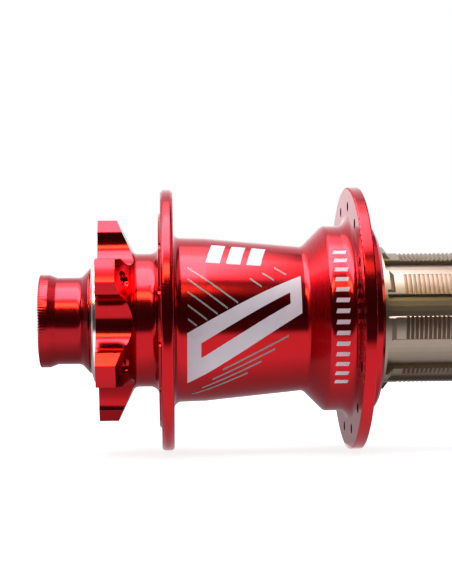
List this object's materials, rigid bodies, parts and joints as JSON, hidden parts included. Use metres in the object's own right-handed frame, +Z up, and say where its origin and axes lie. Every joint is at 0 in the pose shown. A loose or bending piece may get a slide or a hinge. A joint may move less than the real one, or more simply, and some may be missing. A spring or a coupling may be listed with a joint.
{
  "type": "bicycle rear hub",
  "caption": "Rear bicycle hub: flanged alloy shell with a disc rotor mount, sealed bearings, through-axle end caps and a splined freehub with ratchet and pawls.",
  "frame": {"origin": "on the axle axis, midway between the two dropout faces", "axes": "+X along the hub axis towards the drive side (freehub), -X towards the disc rotor, +Z up, +Y forward on the bicycle"},
  "size_m": [0.135, 0.0694, 0.0694],
  "materials": {
    "red_anodised": "bright red anodised, fine turning marks",
    "polished_silver": "polished",
    "champagne_alloy": "satin champagne hard anodised",
    "axle_alloy": "machined",
    "black_rubber": "matt",
    "grey_seal": "matt grey",
    "bearing_steel": "ground",
    "ball_chrome": "polished",
    "cage_polymer": "matt",
    "bearing_seal": "satin",
    "tool_steel": "hardened and ground",
    "spring_steel": "satin"
  },
  "bodies": {
    "axle_assembly": {"axle": "axle_alloy", "disc_side_end_cap": "red_anodised", "drive_side_end_cap": "red_anodised", "disc_side_cap_o_ring": "black_rubber", "drive_side_cap_o_ring": "black_rubber", "disc_side_lip_seal": "black_rubber", "disc_side_bearing_inner_race": "bearing_steel", "drive_side_bearing_inner_race": "bearing_steel", "freehub_inboard_bearing_inner_race": "bearing_steel", "freehub_outboard_bearing_inner_race": "bearing_steel", "shell_to_freehub_spacer": "axle_alloy", "freehub_inner_spacer": "axle_alloy"},
    "shell_assembly": {"hub_shell": "red_anodised", "disc_side_bearing_shield": "polished_silver", "disc_side_bearing_outer_race": "bearing_steel", "drive_side_bearing_outer_race": "bearing_steel", "disc_side_bearing_seals": "bearing_seal", "drive_side_bearing_seals": "bearing_seal", "ratchet_ring": "tool_steel", "freehub_mouth_seal": "grey_seal"},
    "freehub_assembly": {"freehub_body": "champagne_alloy", "freehub_outer_spacer": "axle_alloy", "freehub_circlip": "spring_steel", "freehub_inboard_bearing_outer_race": "bearing_steel", "freehub_outboard_bearing_outer_race": "bearing_steel", "freehub_inboard_bearing_seals": "bearing_seal", "freehub_outboard_bearing_seals": "bearing_seal", "pawl_spring_1": "spring_steel", "pawl_spring_2": "spring_steel", "pawl_spring_3": "spring_steel"},
    "pawl_1": {"pawl_1": "tool_steel"},
    "pawl_2": {"pawl_2": "tool_steel"},
    "pawl_3": {"pawl_3": "tool_steel"},
    "disc_side_bearing_ball_set": {"disc_side_bearing_balls": "ball_chrome", "disc_side_bearing_cage": "cage_polymer"},
    "drive_side_bearing_ball_set": {"drive_side_bearing_balls": "ball_chrome", "drive_side_bearing_cage": "cage_polymer"},
    "freehub_inboard_bearing_ball_set": {"freehub_inboard_bearing_balls": "ball_chrome", "freehub_inboard_bearing_cage": "cage_polymer"},
    "freehub_outboard_bearing_ball_set": {"freehub_outboard_bearing_balls": "ball_chrome", "freehub_outboard_bearing_cage": "cage_polymer"}
  },
  "joints": [
    {"name": "shell_spin", "type": "hinge", "parent": "axle_assembly", "child": "shell_assembly", "pos_m": [0, 0, 0], "axis": [1, 0, 0], "continuous": true},
    {"name": "freehub_spin", "type": "hinge", "parent": "axle_assembly", "child": "freehub_assembly", "pos_m": [0, 0, 0], "axis": [1, 0, 0], "continuous": true},
    {"name": "pawl_1_swing", "type": "hinge", "parent": "freehub_assembly", "child": "pawl_1", "pos_m": [0.0118, 0, 0.01355], "axis": [1, 0, 0], "range_deg": [0, 17.5], "stiffness_Nm_per_rad": 0.01},
    {"name": "pawl_2_swing", "type": "hinge", "parent": "freehub_assembly", "child": "pawl_2", "pos_m": [0.0118, -0.01173, -0.00677], "axis": [1, 0, 0], "range_deg": [0, 17.5], "stiffness_Nm_per_rad": 0.01},
    {"name": "pawl_3_swing", "type": "hinge", "parent": "freehub_assembly", "child": "pawl_3", "pos_m": [0.0118, 0.01173, -0.00677], "axis": [1, 0, 0], "range_deg": [0, 17.5], "stiffness_Nm_per_rad": 0.01},
    {"name": "disc_side_bearing_ball_orbit", "type": "hinge", "parent": "axle_assembly", "child": "disc_side_bearing_ball_set", "pos_m": [0, 0, 0], "axis": [1, 0, 0], "continuous": true},
    {"name": "drive_side_bearing_ball_orbit", "type": "hinge", "parent": "axle_assembly", "child": "drive_side_bearing_ball_set", "pos_m": [0, 0, 0], "axis": [1, 0, 0], "continuous": true},
    {"name": "freehub_inboard_bearing_ball_orbit", "type": "hinge", "parent": "axle_assembly", "child": "freehub_inboard_bearing_ball_set", "pos_m": [0, 0, 0], "axis": [1, 0, 0], "continuous": true},
    {"name": "freehub_outboard_bearing_ball_orbit", "type": "hinge", "parent": "axle_assembly", "child": "freehub_outboard_bearing_ball_set", "pos_m": [0, 0, 0], "axis": [1, 0, 0], "continuous": true}
  ],
  "couplings": [
    {"joint": "disc_side_bearing_ball_orbit", "follows": "shell_spin", "ratio": 0.58511},
    {"joint": "drive_side_bearing_ball_orbit", "follows": "shell_spin", "ratio": 0.58511},
    {"joint": "freehub_inboard_bearing_ball_orbit", "follows": "freehub_spin", "ratio": 0.55814},
    {"joint": "freehub_outboard_bearing_ball_orbit", "follows": "freehub_spin", "ratio": 0.55814}
  ]
}
